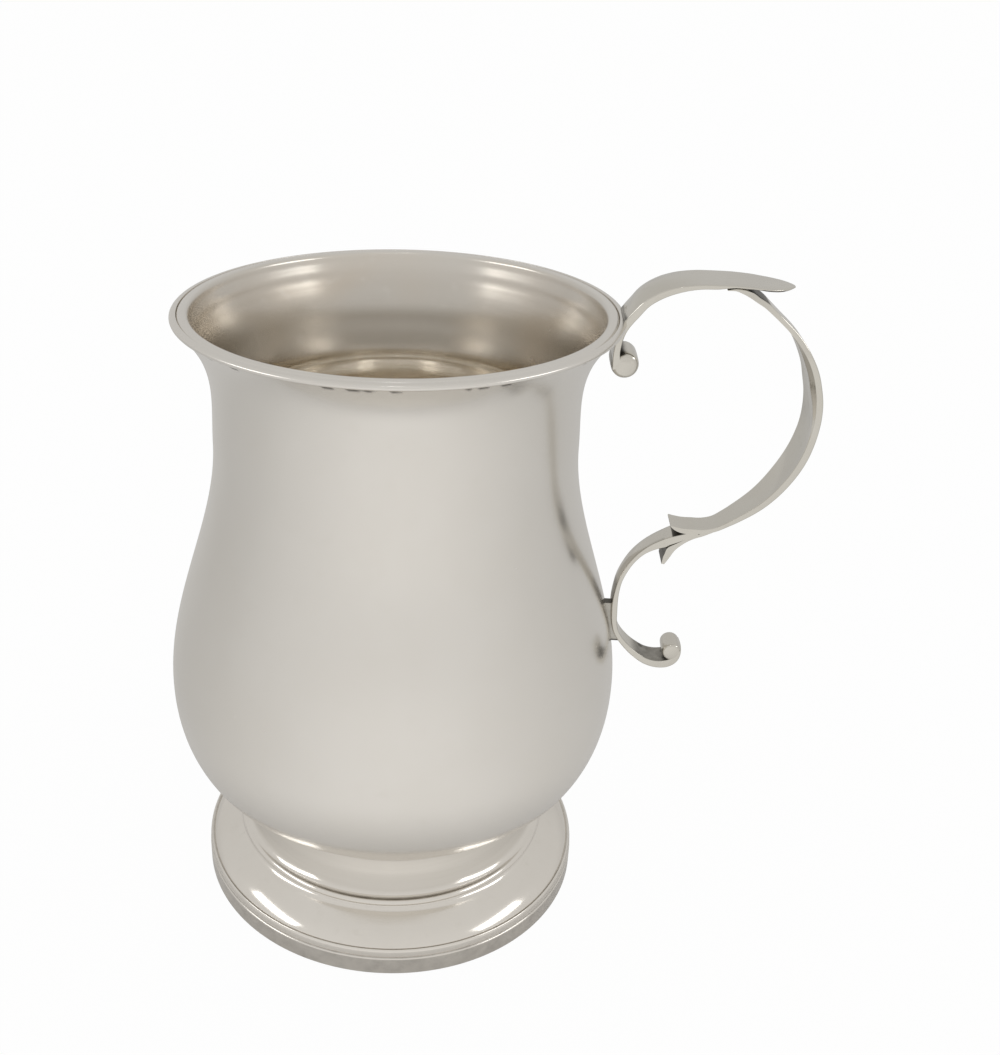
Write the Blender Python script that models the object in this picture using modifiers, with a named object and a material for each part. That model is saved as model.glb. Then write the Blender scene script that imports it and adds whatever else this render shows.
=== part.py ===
"""A baluster tankard in polished silver: a raised bowl with a rim wire, a stepped foot on a band,
and a double-scroll handle made of straps. Lengths are in metres and +Z is up. The handle points
along +X, and the origin is on the table, under the middle of the whole outline."""

import math

import bmesh
import bpy
import numpy as np

# Soldered pieces stand this far apart
FIT = 0.0003

# Bowl: outside radii about the vessel's axis, and heights above the table
HEIGHT = 0.1270
WALL = 0.0010
LIP_RADIUS = 0.0407
LIP_FLARE = 0.90  # outward run of the lip for each unit of rise
NECK_RADIUS = 0.0354
NECK_HEIGHT = 0.1011
BELLY_RADIUS = 0.0464
BELLY_HEIGHT = 0.0488
BASE_RADIUS = 0.0296  # flat bottom of the bowl
BASE_HEIGHT = 0.0247

# Rim wire, which caps the lip and stands out beyond it
WIRE_OVERHANG = 0.0013
WIRE_HEIGHT = 0.0016

# Foot: a collar under the bowl, an upper cove, a step, a lower cove and a band on the table
COLLAR_RADIUS = 0.0339
COLLAR_HEIGHT = 0.0019
FOOT_WALL = 0.0015
FOOT_NECK_RADIUS = 0.0290
STEP_RADIUS = 0.0339
STEP_HEIGHT = 0.0122
STEP_NOSE = 0.0013
BAND_RADIUS = 0.0411
BAND_HEIGHT = 0.0040
BAND_WIDTH = 0.0028
BEAD_HEIGHT = 0.0020
BEAD_WIDTH = 0.0016

# Upper strap of the handle: its underside rises past the rim to a crest and runs on as a leaf
CREST_RISE = 0.0068  # above the rim
CREST_OUT = 0.0148  # out from the rim wire
STRAP_WIDTH = 0.0102
STRAP_THICKNESS = 0.0011
STRAP_CROWN = 0.0013  # how far its upper face is domed above the rim
STRAP_FOOT_WIDTH = 0.0080
LEAF_LENGTH = 0.0145
LEAF_DROOP = 0.0011
LEAF_THICKNESS = 0.0008
LEAF_TIP_WIDTH = 0.0016
LEAF_TIP_THICKNESS = 0.0005

# Barrel at the strap's lower end, just under the rim
BARREL_DROP = 0.0086  # below the rim
BARREL_LENGTH = 0.0082
BARREL_RADIUS = 0.0029
BARREL_END_RADIUS = 0.0021

# Grip: a scroll round the fingers, from under the leaf to the waist of the handle
GRIP_OUT = 0.0357  # inner face, out from the rim wire
GRIP_HEIGHT = 0.1098
GRIP_THICKNESS = 0.0019
GRIP_START = 0.0005  # thickness at which it leaves the leaf
GRIP_TOP_WIDTH = 0.0090
GRIP_WIDTH = 0.0098
WAIST_HEIGHT = 0.0853
WAIST_WIDTH = 0.0052
SPUR_WIDTH = 0.0056

# Lower scroll: from the waist in to a lug on the belly, and out again to a roll
SCROLL_SPAN = 0.0134  # from its inmost point out to the waist
SCROLL_DROP = 0.0022  # its top, below the grip's inner face
SCROLL_WIDTH = 0.0042
SCROLL_THICKNESS = 0.0018
LUG_HEIGHT = 0.0645  # where the scroll comes nearest the vessel's axis
LUG_DROP = 0.0018  # middle of the lug, below that
LUG_DEPTH = 0.0009  # least space between belly and scroll
LUG_LENGTH = 0.0086
LUG_WIDTH = 0.0040
TAIL_DROP = 0.0126  # from the inmost point down to the lowest
TAIL_SPAN = 0.0115  # from the inmost point out to the lowest
TAIL_END = 0.0018  # on past the lowest point
ROLL_LENGTH = 0.0055
ROLL_RADIUS = 0.0022
ROLL_END_RADIUS = 0.0019

# Fullness of the curves: 2 is an ellipse, and more is squarer
BOWL_FULLNESS = 2.18
STRAP_FULLNESS = 2.25
GRIP_FULLNESS = 1.72
GRIP_BASE_FULLNESS = 1.84
SCROLL_FULLNESS = 2.35
TAIL_FULLNESS = 1.8

# How finely the curves are cut
SEGMENTS = 48
MERGE = 0.00001

# Places that follow from the sizes above
RIM_RADIUS = LIP_RADIUS + WIRE_OVERHANG
LIP_HEIGHT = HEIGHT - WIRE_HEIGHT - FIT
FOOT_HEIGHT = BASE_HEIGHT - FIT
COLLAR_BASE = BASE_HEIGHT - COLLAR_HEIGHT + FIT
BEAD_TOP = BAND_HEIGHT + BEAD_HEIGHT
FOOT_EDGE = BAND_RADIUS - BEAD_WIDTH - FIT
CREST = (RIM_RADIUS + CREST_OUT, HEIGHT + CREST_RISE)
GRIP_REACH = RIM_RADIUS + GRIP_OUT
AXIS_X = (BELLY_RADIUS - GRIP_REACH - GRIP_THICKNESS) / 2


def clear_scene():
    for old in list(bpy.data.objects):
        bpy.data.objects.remove(old, do_unlink=True)


def collection(name):
    made = bpy.data.collections.new(name)
    bpy.context.scene.collection.children.link(made)
    return made


def silver(name, colour, roughness):
    material = bpy.data.materials.new(name)
    material.use_nodes = True
    shader = material.node_tree.nodes["Principled BSDF"]
    shader.inputs["Base Color"].default_value = (*colour, 1)
    shader.inputs["Metallic"].default_value = 1.0
    shader.inputs["Roughness"].default_value = roughness
    return material


def place(name, data, finish):
    """Puts a mesh or a curve on the vessel's axis, with its own finish."""
    piece = bpy.data.objects.new(name, data)
    data.materials.append(silver(name + "_silver", *finish))
    parts.objects.link(piece)
    piece.parent = vessel_axis
    return piece


def make_helper(piece):
    piece.hide_render = True
    piece.display_type = "WIRE"
    parts.objects.unlink(piece)
    cutters.objects.link(piece)


def quarter(level, upright, fullness, count):
    """A quarter superellipse, from the point where it runs level to the one where it is upright."""
    angle = np.linspace(0, math.pi / 2, count)
    reach = np.sin(angle) ** (2 / fullness)
    rise = np.cos(angle) ** (2 / fullness)
    x = level[0] + (upright[0] - level[0]) * reach
    z = upright[1] + (level[1] - upright[1]) * rise
    return np.column_stack([x, z])


def turned(name, profile, finish, closed=True):
    """A profile of radius and height turned about Z; it runs down its outer side."""
    points = [(radius, 0, height) for radius, height in profile]
    edges = [(i, i + 1) for i in range(len(points) - 1)]
    if closed:
        edges.append((len(points) - 1, 0))
    mesh = bpy.data.meshes.new(name)
    mesh.from_pydata(points, edges, [])
    piece = place(name, mesh, finish)
    screw = piece.modifiers.new("turn", "SCREW")
    screw.axis = "Z"
    screw.steps = SEGMENTS
    screw.render_steps = SEGMENTS
    screw.use_merge_vertices = True
    screw.merge_threshold = MERGE
    screw.use_smooth_shade = True
    return piece


def strap(name, path, widths, thicknesses, finish, crowns=None):
    """A strap along a path in the handle's plane. Its section has chamfered corners, lies across the
    path and is built up on the path's left side, where it may be domed by a crown."""
    if crowns is None:
        crowns = np.zeros(len(path))
    ahead = np.gradient(path, axis=0)
    ahead /= np.linalg.norm(ahead, axis=1)[:, None]
    left = np.column_stack([-ahead[:, 1], ahead[:, 0]])
    mesh = bmesh.new()
    rings = []
    for point, side, width, thickness, crown in zip(path, left, widths, thicknesses, crowns):
        chamfer = 0.3 * thickness
        shoulder = thickness - chamfer
        top = thickness + crown
        half = width / 2
        flat = half - chamfer
        domed = flat - crown
        section = [
            (-flat, 0), (flat, 0), (half, chamfer), (half, shoulder),
            (domed, top), (-domed, top), (-half, shoulder), (-half, chamfer),
        ]
        rings.append([
            mesh.verts.new((point[0] + side[0] * up, across, point[1] + side[1] * up))
            for across, up in section
        ])
    for near, far in zip(rings, rings[1:]):
        for i in range(len(near)):
            j = (i + 1) % len(near)
            mesh.faces.new((near[i], near[j], far[j], far[i]))
    mesh.faces.new(rings[0])
    mesh.faces.new(rings[-1])
    bmesh.ops.recalc_face_normals(mesh, faces=mesh.faces)
    data = bpy.data.meshes.new(name)
    mesh.to_mesh(data)
    mesh.free()
    data.shade_smooth()
    data.set_sharp_from_angle(angle=math.radians(35))
    return place(name, data, finish)


def plate(name, outline, width, finish):
    """A flat outline in the handle's plane, standing half its width to each side of it."""
    curve = bpy.data.curves.new(name, "CURVE")
    curve.dimensions = "2D"
    curve.fill_mode = "BOTH"
    curve.extrude = width / 2
    spline = curve.splines.new("POLY")
    spline.points.add(len(outline) - 1)
    for point, (x, z) in zip(spline.points, outline):
        point.co = (x, z, 0, 1)
    spline.use_cyclic_u = True
    piece = place(name, curve, finish)
    piece.rotation_euler = (math.pi / 2, 0, 0)
    return piece


def solid_helper(piece):
    """The same plate as a closed mesh, hidden, for cutting or joining."""
    bpy.context.view_layer.update()
    graph = bpy.context.evaluated_depsgraph_get()
    mesh = bpy.data.meshes.new_from_object(piece.evaluated_get(graph))
    welded = bmesh.new()
    welded.from_mesh(mesh)
    bmesh.ops.remove_doubles(welded, verts=welded.verts, dist=MERGE)
    bmesh.ops.recalc_face_normals(welded, faces=welded.faces)
    welded.to_mesh(mesh)
    welded.free()
    helper = bpy.data.objects.new(piece.name + "_solid", mesh)
    cutters.objects.link(helper)
    helper.matrix_world = piece.matrix_world
    helper.hide_render = True
    helper.display_type = "WIRE"
    bpy.data.objects.remove(piece, do_unlink=True)
    return helper


def combine(piece, helper, operation):
    boolean = piece.modifiers.new(operation.lower(), "BOOLEAN")
    boolean.operation = operation
    boolean.solver = "EXACT"
    boolean.object = helper


def barrel(name, length, radius, end_radius, centre, finish):
    """A roll lying across the handle, fuller in the middle than at its ends."""
    along = np.linspace(0.5, -0.5, 7)
    swell = end_radius + (radius - end_radius) * (1 - (2 * along) ** 2)
    profile = [(0, length / 2), *zip(swell, along * length), (0, -length / 2)]
    piece = turned(name, profile, finish, closed=False)
    piece.location = (centre[0], 0, centre[1])
    piece.rotation_euler = (math.pi / 2, 0, 0)
    return piece


def smooth(t):
    return t * t * (3 - 2 * t)


def bowl_radius(z):
    """The bowl's outside radius at a height between its belly and its lip."""
    waist = smooth(np.clip((z - BELLY_HEIGHT) / (NECK_HEIGHT - BELLY_HEIGHT), 0, 1))
    rise = LIP_HEIGHT - NECK_HEIGHT
    t = np.clip((z - NECK_HEIGHT) / rise, 0, 1)
    flare = smooth(t) * (LIP_RADIUS - NECK_RADIUS) + (t**3 - t**2) * LIP_FLARE * rise
    return BELLY_RADIUS + (NECK_RADIUS - BELLY_RADIUS) * waist + flare


def bowl_side(inset):
    """The bowl's side from its lip to its flat bottom, drawn in by an inset."""
    flare = np.linspace(LIP_HEIGHT, NECK_HEIGHT, 7)[:-1]
    waist = np.linspace(NECK_HEIGHT, BELLY_HEIGHT, 12)[:-1]
    heights = np.concatenate([flare, waist])
    upper = np.column_stack([bowl_radius(heights) - inset, heights])
    belly = (BELLY_RADIUS - inset, BELLY_HEIGHT)
    bottom = (BASE_RADIUS, BASE_HEIGHT + inset)
    lower = quarter(bottom, belly, BOWL_FULLNESS, 11)[::-1]
    return np.concatenate([upper, lower])


def bowl_underside(radius):
    """Height of the bowl's underside between its flat bottom and its belly."""
    share = np.clip((radius - BASE_RADIUS) / (BELLY_RADIUS - BASE_RADIUS), 0, 1)
    drop = (1 - share**BOWL_FULLNESS) ** (1 / BOWL_FULLNESS)
    return BELLY_HEIGHT - (BELLY_HEIGHT - BASE_HEIGHT) * drop


def make_body():
    inside = bowl_side(WALL)[::-1]
    profile = [(0, BASE_HEIGHT + WALL), *inside, *bowl_side(0), (0, BASE_HEIGHT)]
    turned("body", profile, POLISHED, closed=False)


def make_rim_wire():
    inner = LIP_RADIUS - WALL
    middle = HEIGHT - WIRE_HEIGHT / 2
    angle = np.radians(np.linspace(90, -90, 9))
    outer = np.column_stack([
        LIP_RADIUS + WIRE_OVERHANG * np.cos(angle),
        middle + WIRE_HEIGHT / 2 * np.sin(angle),
    ])
    ease = 0.2 * WIRE_HEIGHT
    inside = [(inner, HEIGHT - WIRE_HEIGHT), (inner, HEIGHT - ease), (inner + ease, HEIGHT)]
    turned("rim_wire", [*outer, *inside], POLISHED)


def make_collar():
    """A ring between bowl and foot, whose top follows the bowl's underside."""
    inner = FOOT_NECK_RADIUS + FIT
    ease = 0.2 * COLLAR_HEIGHT
    radii = np.linspace(inner, COLLAR_RADIUS - ease, 5)
    top = np.column_stack([radii, bowl_underside(radii) - FIT])
    shoulder = bowl_underside(COLLAR_RADIUS) - FIT - ease
    side = [
        (COLLAR_RADIUS, shoulder),
        (COLLAR_RADIUS, COLLAR_BASE + ease),
        (COLLAR_RADIUS - ease, COLLAR_BASE),
        (inner, COLLAR_BASE),
    ]
    turned("collar_ring", [*top, *side], POLISHED)


def make_foot():
    """A shell with two coves, open below. Each cove's inside is its outside grown by the wall."""
    nose = 0.4 * STEP_NOSE
    neck_base = COLLAR_BASE - COLLAR_HEIGHT
    root = STEP_HEIGHT - STEP_NOSE
    upper_edge = (STEP_RADIUS - nose, STEP_HEIGHT)
    upper = quarter(upper_edge, (FOOT_NECK_RADIUS, neck_base), 2, 8)[::-1]
    lower_edge = (FOOT_EDGE, BEAD_TOP)
    lower = quarter(lower_edge, (STEP_RADIUS - nose, root), 2, 7)[::-1]
    outside = [
        (FOOT_NECK_RADIUS, FOOT_HEIGHT),
        *upper,
        (STEP_RADIUS, STEP_HEIGHT - nose),
        (STEP_RADIUS, root + nose),
        *lower,
    ]
    inner_neck = (FOOT_NECK_RADIUS - FOOT_WALL, neck_base)
    inner_root = (STEP_RADIUS - nose - FOOT_WALL, root)
    under_lower = quarter((FOOT_EDGE, BEAD_TOP - FOOT_WALL), inner_root, 2, 7)
    under_upper = quarter((STEP_RADIUS - nose, STEP_HEIGHT - FOOT_WALL), inner_neck, 2, 8)
    under_upper = under_upper[under_upper[:, 0] < inner_root[0]]
    inside = [*under_lower, *under_upper, (inner_neck[0], FOOT_HEIGHT)]
    turned("foot", [*outside, *inside], SATIN)


def make_foot_rim():
    """The band that stands on the table; the foot's edge is let into its top, inside a bead."""
    angle = np.radians(np.linspace(90, 0, 6))
    bead = np.column_stack([
        BAND_RADIUS - BEAD_WIDTH * (1 - np.cos(angle)),
        BAND_HEIGHT + BEAD_HEIGHT * np.sin(angle),
    ])
    seat = BEAD_TOP - FOOT_WALL - FIT
    inner = BAND_RADIUS - BAND_WIDTH
    base = [(BAND_RADIUS, 0), (inner, 0), (inner, seat), (BAND_RADIUS - BEAD_WIDTH, seat)]
    turned("foot_rim", [*bead, *base], SATIN)


def leaf_underside(x):
    """Height of the leaf's underside, out from the crest."""
    out = np.clip((x - CREST[0]) / LEAF_LENGTH, 0, 1)
    return CREST[1] - LEAF_DROOP * out**1.5


def make_thumb_strap():
    """Rises outside the rim wire, crosses the crest and ends in a leaf for the thumb."""
    base = HEIGHT - BARREL_DROP
    widest = HEIGHT - WIRE_HEIGHT / 2
    share = (widest - base) / (CREST[1] - base)
    lean = (1 - share**STRAP_FULLNESS) ** (1 / STRAP_FULLNESS)
    outside = RIM_RADIUS + FIT + STRAP_THICKNESS
    left = CREST[0] - (CREST[0] - outside) / lean
    rising = quarter(CREST, (left, base), STRAP_FULLNESS, 19)[::-1]
    rising = rising[rising[:, 1] > base + BARREL_RADIUS + FIT]
    out = np.linspace(0, 1, 13)[1:]
    leaf_x = CREST[0] + LEAF_LENGTH * np.sin(out * math.pi / 2)
    leaf = np.column_stack([leaf_x, leaf_underside(leaf_x)])
    climb = np.linspace(0, 1, len(rising))
    spread = (leaf_x - CREST[0]) / LEAF_LENGTH
    widths = np.concatenate([
        STRAP_FOOT_WIDTH + (STRAP_WIDTH - STRAP_FOOT_WIDTH) * smooth(climb),
        LEAF_TIP_WIDTH + (STRAP_WIDTH - LEAF_TIP_WIDTH) * (1 - spread**2.6) ** 0.6,
    ])
    thicknesses = np.concatenate([
        STRAP_THICKNESS + (LEAF_THICKNESS - STRAP_THICKNESS) * climb,
        LEAF_THICKNESS + (LEAF_TIP_THICKNESS - LEAF_THICKNESS) * spread**2,
    ])
    above = np.clip((rising[:, 1] - HEIGHT) / CREST_RISE, 0, 1)
    dome = smooth(np.clip(5 * above, 0, 1)) * (1 - above**2)
    crowns = np.concatenate([STRAP_CROWN * dome, np.zeros(len(leaf))])
    path = np.concatenate([rising, leaf])
    strap("thumb_strap", path, widths, thicknesses, CAST, crowns)
    centre = (left + BARREL_END_RADIUS / 3, base)
    barrel("upper_volute", BARREL_LENGTH, BARREL_RADIUS, BARREL_END_RADIUS, centre, CAST)


def make_grip_scroll(waist):
    """Leaves the leaf's underside, goes round the fingers and ends at the waist in two spurs."""
    outermost = (GRIP_REACH, GRIP_HEIGHT)
    over = quarter(CREST, outermost, GRIP_FULLNESS, 22)
    room = leaf_underside(over[:, 0]) - over[:, 1] - FIT
    over = over[room > GRIP_START]
    room = room[room > GRIP_START]
    under = quarter(waist, outermost, GRIP_BASE_FULLNESS, 18)[::-1][1:]
    path = np.concatenate([over, under])
    along_over = np.linspace(0, 1, len(over))
    along_under = np.linspace(0, 1, len(under))
    widths = np.concatenate([
        GRIP_TOP_WIDTH + (GRIP_WIDTH - GRIP_TOP_WIDTH) * along_over,
        GRIP_WIDTH + (WAIST_WIDTH - GRIP_WIDTH) * smooth(along_under),
    ])
    full = GRIP_START + (GRIP_THICKNESS - GRIP_START) * np.sqrt(along_over)
    thicknesses = np.concatenate([np.minimum(full, room), np.full(len(under), GRIP_THICKNESS)])
    grip = strap("grip_scroll", path, widths, thicknesses, CAST)
    combine(grip, solid_helper(plate("spurs", spur_outline(waist), SPUR_WIDTH, CAST)), "UNION")


def socket_line(waist):
    """The two notches between which the lower scroll meets the grip."""
    upper = (waist[0] - 0.0011, waist[1] - 0.0012)
    lower = (waist[0] - 0.0042, waist[1] - 0.0049)
    return np.array([upper, lower])


def spur_outline(waist):
    """Side view of the grip's end: a spur turned up inside, and one turned down outside."""
    upper, lower = socket_line(waist)
    inner_spur = [(0.0050, 0.0003), (0.0025, -0.0001), (0, -0.0002), (-0.0020, 0.0001)]
    inner_tip = [(-0.0042, 0.0006), (-0.0038, 0), (-0.0024, -0.0007)]
    outer_tip = [(-0.0049, -0.0082), (-0.0033, -0.0063), (-0.0021, -0.0045)]
    outer_spur = [(-0.0010, -0.0033), (0.0005, -0.0025), (0.0032, -0.0014)]
    shifted = [
        [(waist[0] + x, waist[1] + z) for x, z in run]
        for run in (inner_spur, inner_tip, outer_tip, outer_spur)
    ]
    return [*shifted[0], *shifted[1], tuple(upper), tuple(lower), *shifted[2], *shifted[3]]


def scroll_path(inmost_x):
    """Outer face of the lower scroll, from the waist in to its inmost point and out to its lowest."""
    top = (inmost_x + SCROLL_SPAN, WAIST_HEIGHT - SCROLL_DROP)
    inmost = (inmost_x, LUG_HEIGHT)
    lowest = (inmost_x + TAIL_SPAN, LUG_HEIGHT - TAIL_DROP)
    upper = quarter(top, inmost, SCROLL_FULLNESS, 17)
    lower = quarter(lowest, inmost, TAIL_FULLNESS, 13)[::-1][1:]
    return np.concatenate([upper, lower])


def scroll_face(path, heights):
    """How far out the scroll's outer face is at some heights."""
    rising = path[::-1]
    return np.interp(heights, rising[:, 1], rising[:, 0])


def lug_heights():
    middle = LUG_HEIGHT - LUG_DROP
    return np.linspace(middle - LUG_LENGTH / 2, middle + LUG_LENGTH / 2, 7)


def inmost_place():
    """Inmost point of the scroll that leaves the lug its least depth, all along the belly."""
    heights = lug_heights()
    return LUG_DEPTH + max(bowl_radius(heights) - scroll_face(scroll_path(0), heights))


def make_lower_scroll(waist, path):
    """Runs from between the spurs in to the lug, and out under a roll."""
    lowest = path[-1]
    path = np.concatenate([path, [(lowest[0] + TAIL_END, lowest[1])]])
    widths = np.full(len(path), SCROLL_WIDTH)
    thicknesses = np.full(len(path), SCROLL_THICKNESS)
    scroll = strap("lower_scroll", path, widths, thicknesses, CAST)
    upper_notch, lower_notch = socket_line(waist) - (FIT * 1.5, 0)
    along = upper_notch - lower_notch
    corners = [upper_notch + along, lower_notch - along]
    away = (3 * SCROLL_SPAN, 0)
    cut = [*corners, corners[1] + away, corners[0] + away]
    combine(scroll, solid_helper(plate("socket", cut, 2 * SCROLL_WIDTH, CAST)), "DIFFERENCE")
    roll = (lowest[0] + TAIL_END, lowest[1] + SCROLL_THICKNESS + FIT + ROLL_RADIUS)
    barrel("end_volute", ROLL_LENGTH, ROLL_RADIUS, ROLL_END_RADIUS, roll, CAST)


def make_lug(path):
    """A pad that fills the space between the belly and the lower scroll's outer face."""
    heights = lug_heights()
    bowl_side_x = bowl_radius(heights) + FIT
    scroll_side_x = scroll_face(path, heights) - FIT
    outline = [*zip(bowl_side_x, heights), *zip(scroll_side_x[::-1], heights[::-1])]
    plate("lower_lug", outline, LUG_WIDTH, CAST)


# Colour and roughness of the polished bowl, the duller foot and the cast handle
POLISHED = ((0.80, 0.78, 0.74), 0.10)
SATIN = ((0.79, 0.77, 0.73), 0.14)
CAST = ((0.76, 0.74, 0.69), 0.22)

clear_scene()
parts = collection("tankard")
cutters = collection("tankard_cutters")
vessel_axis = bpy.data.objects.new("vessel_axis", None)
parts.objects.link(vessel_axis)
vessel_axis.location = (AXIS_X, 0, 0)

make_body()
make_rim_wire()
make_collar()
make_foot()
make_foot_rim()
make_thumb_strap()
inmost_x = inmost_place()
waist = (inmost_x + SCROLL_SPAN, WAIST_HEIGHT)
make_grip_scroll(waist)
lower_path = scroll_path(inmost_x)
make_lower_scroll(waist, lower_path)
make_lug(lower_path)
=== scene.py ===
import math

import bmesh
import bpy
import numpy as np
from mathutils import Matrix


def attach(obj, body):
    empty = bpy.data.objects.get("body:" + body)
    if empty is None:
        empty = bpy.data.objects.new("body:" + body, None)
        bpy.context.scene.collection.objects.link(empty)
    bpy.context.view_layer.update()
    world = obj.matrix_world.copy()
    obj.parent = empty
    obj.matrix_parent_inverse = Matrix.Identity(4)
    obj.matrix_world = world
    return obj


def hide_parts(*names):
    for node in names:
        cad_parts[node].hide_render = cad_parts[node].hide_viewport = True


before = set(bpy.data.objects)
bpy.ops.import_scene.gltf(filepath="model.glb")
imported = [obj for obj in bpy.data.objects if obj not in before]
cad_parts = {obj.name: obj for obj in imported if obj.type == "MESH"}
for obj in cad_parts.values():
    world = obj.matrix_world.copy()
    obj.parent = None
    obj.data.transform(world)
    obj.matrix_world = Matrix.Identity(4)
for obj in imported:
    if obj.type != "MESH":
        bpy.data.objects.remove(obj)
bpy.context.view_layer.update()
print("frame loaded:", len(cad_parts), "nodes")

mm = 0.001  # every size below is in mm, the frame is in metres
axisX = -16.6  # the vessel's own axis; the handle points along +X
handleX = axisX - 0.42  # where the handle's own lengths start
handleRise = 0.9982  # scale of the handle's own heights


# line helpers

# S-curve from 0 to 1: 3 t^2 - 2 t^3, held at both ends
def smooth(t):
    t = np.clip(t, 0, 1)
    return t * t * (3 - 2 * t)


# quarter superellipse, x = sin^(2/p) and z = cos^(2/p): level at its first point, upright at its last
def quarter(level, upright, fullness, count=240):
    a = np.linspace(0, np.pi / 2, count)
    x = level[0] + (upright[0] - level[0]) * np.sin(a) ** (2 / fullness)
    z = upright[1] + (level[1] - upright[1]) * np.abs(np.cos(a)) ** (2 / fullness)
    return np.column_stack([x, z])


# length run along a line of points
def runAlong(points):
    steps = np.linalg.norm(np.diff(points, axis=0), axis=1)
    return np.concatenate([[0], np.cumsum(steps)])


# the same line with its points at equal steps of length
def evenly(points, count):
    run = runAlong(points)
    at = np.linspace(0, run[-1], count)
    return np.column_stack([np.interp(at, run, column) for column in points.T])


# corners of a closed line turned round: each point is the bell-weighted mean of its neighbours
def eased(points, radius, count):
    points = np.asarray(points, float)
    line = evenly(np.vstack([points, points[:1]]), count + 1)
    step = runAlong(line)[-1] / (len(line) - 1)
    reach = max(1, int(3 * radius / step))
    taps = np.exp(-0.5 * (np.arange(-reach, reach + 1) * step / radius) ** 2)
    taps /= taps.sum()
    longer = np.pad(line[:-1], ((reach, reach), (0, 0)), mode="wrap")
    return np.column_stack([np.convolve(column, taps, "valid") for column in longer.T])


# unit normals on the left of a line
def leftOf(path):
    ahead = np.gradient(path, axis=0)
    ahead /= np.linalg.norm(ahead, axis=1)[:, None]
    return np.column_stack([-ahead[:, 1], ahead[:, 0]])


# smooth line through a few points, run by its first two columns: cubic pieces that take
# each point's slope from its neighbours
def throughPoints(points, count):
    points = np.asarray(points, float)
    run = runAlong(points[:, :2])
    slope = np.gradient(points, run, axis=0)
    at = np.linspace(0, run[-1], count)
    i = np.clip(np.searchsorted(run, at, "right") - 1, 0, len(run) - 2)
    h = (run[i + 1] - run[i])[:, None]
    t = (at - run[i])[:, None] / h
    return ((1 + 2 * t) * (1 - t) ** 2 * points[i] + t * (1 - t) ** 2 * h * slope[i]
            + t * t * (3 - 2 * t) * points[i + 1] - t * t * (1 - t) * h * slope[i + 1])


# mark over part of a piece: a strength times the S-curve of a measure, from a start on over a width;
# with a width below 0 it lies before the start
def past(measure, start, width, strength=1.0):
    return strength * smooth((measure - start) / width)


# radius about the vessel's axis, and height
def roundAxis(grid):
    return np.hypot(grid[..., 0] - axisX, grid[..., 1]), grid[..., 2]


# length out along the handle, and height
def alongHandle(grid):
    return grid[..., 0] - handleX, grid[..., 2]


# closeness to some points of the handle's plane: exp(-(d / reach)^2) of the nearest one
def nearPlaces(grid, places, reach):
    s, z = grid[..., 0] - handleX, grid[..., 2] / handleRise
    away = [(s - px) ** 2 + (z - pz) ** 2 for px, pz in places]
    return np.exp(-np.min(away, axis=0) / reach**2)


# the same for points anywhere on the handle: s, y and z
def nearSpots(grid, spots, reach):
    away = [(grid[..., 0] - handleX - s) ** 2 + (grid[..., 1] - y) ** 2 + (grid[..., 2] - z * handleRise) ** 2
            for s, y, z in spots]
    return np.exp(-np.min(away, axis=0) / reach**2)


# broken marks round the vessel: least, and more where sin 11a + sin 43a + sin 71a is high,
# each with a start of its own
def dashes(grid, least, more):
    a = np.arctan2(grid[..., 1], grid[..., 0] - axisX)
    return least + more * smooth(np.sin(11 * a + 1) + np.sin(43 * a + 2.2) + np.sin(71 * a + 0.4) - 0.4)


# mesh helpers

# profile of radius and height carried round the vessel's axis
def turned(profile, segments=256):
    a = np.linspace(0, 2 * np.pi, segments, endpoint=False)
    r, z = profile[:, :1], profile[:, 1:]
    return np.stack([axisX + r * np.cos(a), r * np.sin(a), z + 0 * a], -1)


# section of a strap: corner centres from -1 to 1 and outward directions, once round anticlockwise;
# the corners are quarter circles, or straight facets on the under side
def strapSection(facets, flat=16, side=6, corner=8):
    def run(count):
        return np.linspace(0, 1, count, endpoint=False)

    f, e, t = 2 * run(flat) - 1, 2 * run(side) - 1, run(corner)
    q = t * np.pi / 2
    rise, fall = (t, 1 - t) if facets else (np.sin(q), np.cos(q))
    one, many, edge = np.ones(corner), np.ones(flat), np.ones(side)
    centreV = np.concatenate([f, one, edge, one, -f, -one, -edge, -one])
    centreW = np.concatenate([-many, -one, e, one, many, one, -e, -one])
    outV = np.concatenate([0 * f, rise, edge, np.cos(q), 0 * f, -np.sin(q), -edge, -fall])
    outW = np.concatenate([-many, -fall, 0 * e, np.sin(q), many, np.cos(q), 0 * e, -rise])
    return centreV, centreW, outV, outW


# shares of a strap's section, one for each column: under face, over face, lower half, under edge line
def strapShares(facets=False):
    centreV, centreW, _, outW = strapSection(facets)
    line = (np.abs(centreV) == 1) & (outW == 0) & (centreW == -1)
    return np.maximum(-outW, 0), np.maximum(outW, 0), (1 - centreW) / 2, line * 1.0


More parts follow.
